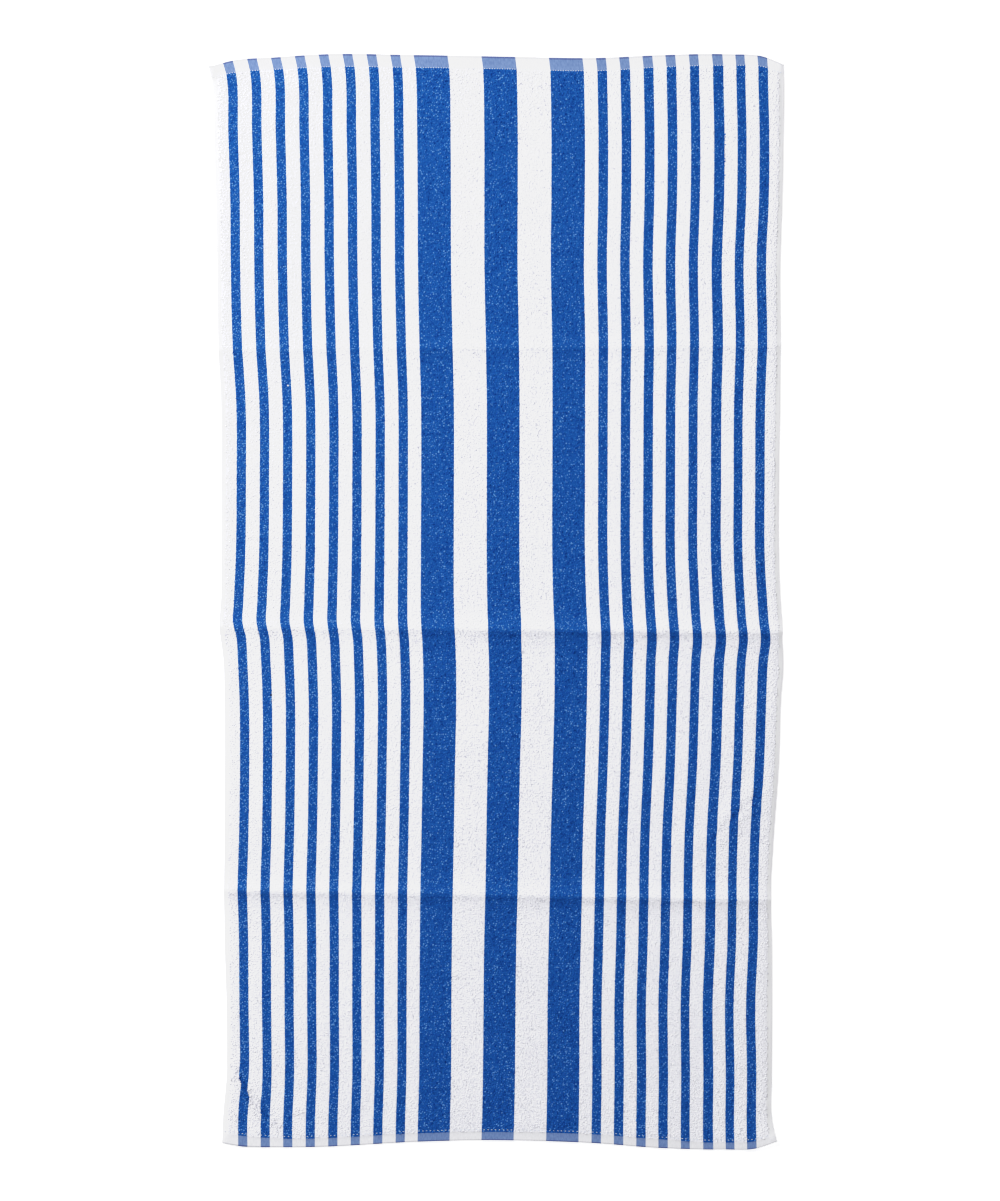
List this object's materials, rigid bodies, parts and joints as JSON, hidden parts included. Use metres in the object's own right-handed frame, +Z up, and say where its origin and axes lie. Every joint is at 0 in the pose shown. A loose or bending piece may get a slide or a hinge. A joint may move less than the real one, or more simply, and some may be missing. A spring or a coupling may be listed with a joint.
{
  "type": "beach towel",
  "caption": "Long striped terry beach towel with flat-woven hems, laid out flat with ridges left across it by folding.",
  "frame": {"origin": "on the surface the towel lies on, under the middle of the box that it fills", "axes": "+X across the towel, +Y along it towards the end with the wider hem, +Z up from the surface"},
  "size_m": [0.779, 1.4966, 0.0115],
  "materials": {
    "striped_terry": "matt cotton terry, royal blue and white stripes along the length"
  },
  "bodies": {
    "root": {"towel": "striped_terry"}
  },
  "joints": []
}
